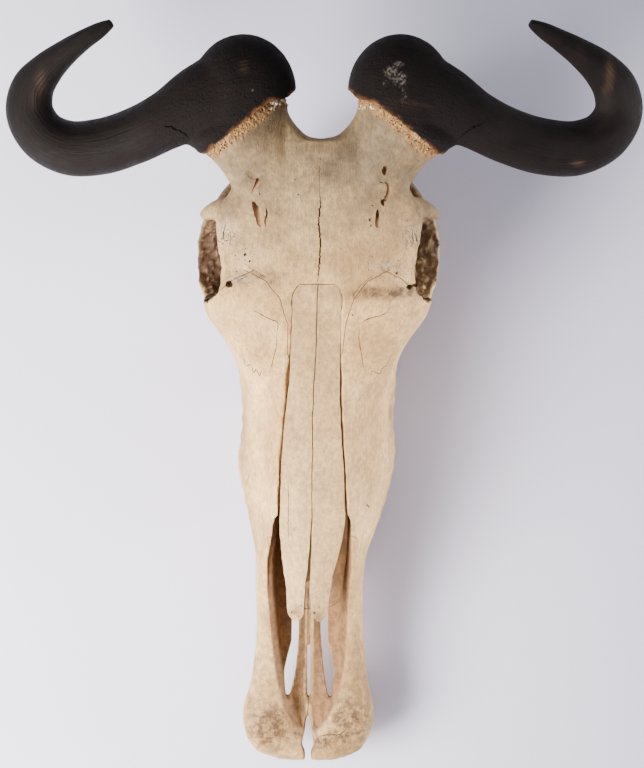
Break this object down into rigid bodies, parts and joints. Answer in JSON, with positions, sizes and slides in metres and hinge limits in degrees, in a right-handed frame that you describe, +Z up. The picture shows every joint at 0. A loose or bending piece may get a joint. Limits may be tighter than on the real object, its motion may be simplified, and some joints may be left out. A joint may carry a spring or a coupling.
{
  "type": "wildebeest skull with horns",
  "caption": "Bleached antelope skull with long muzzle, ringed eye sockets, cheek teeth and dark hooked horns, lying on its teeth as a display or study specimen.",
  "frame": {"origin": "middle of the footprint's bounding box, on the surface that the skull lies on", "axes": "+Z up; the muzzle points along -Y and the horns along +Y; +X is the animal's own left"},
  "size_m": [0.4496, 0.5342, 0.2093],
  "materials": {
    "bone": "dry matte bone",
    "nasal_bone": "dry smooth bone",
    "horn": "satin horn with fine streaks"
  },
  "bodies": {
    "root": {"cranium": "bone", "maxilla_left": "bone", "maxilla_right": "bone", "nasal_left": "nasal_bone", "nasal_right": "nasal_bone", "premaxilla_left": "bone", "premaxilla_right": "bone", "zygomatic_left": "bone", "zygomatic_right": "bone", "horn_left": "horn", "horn_right": "horn"}
  },
  "joints": []
}
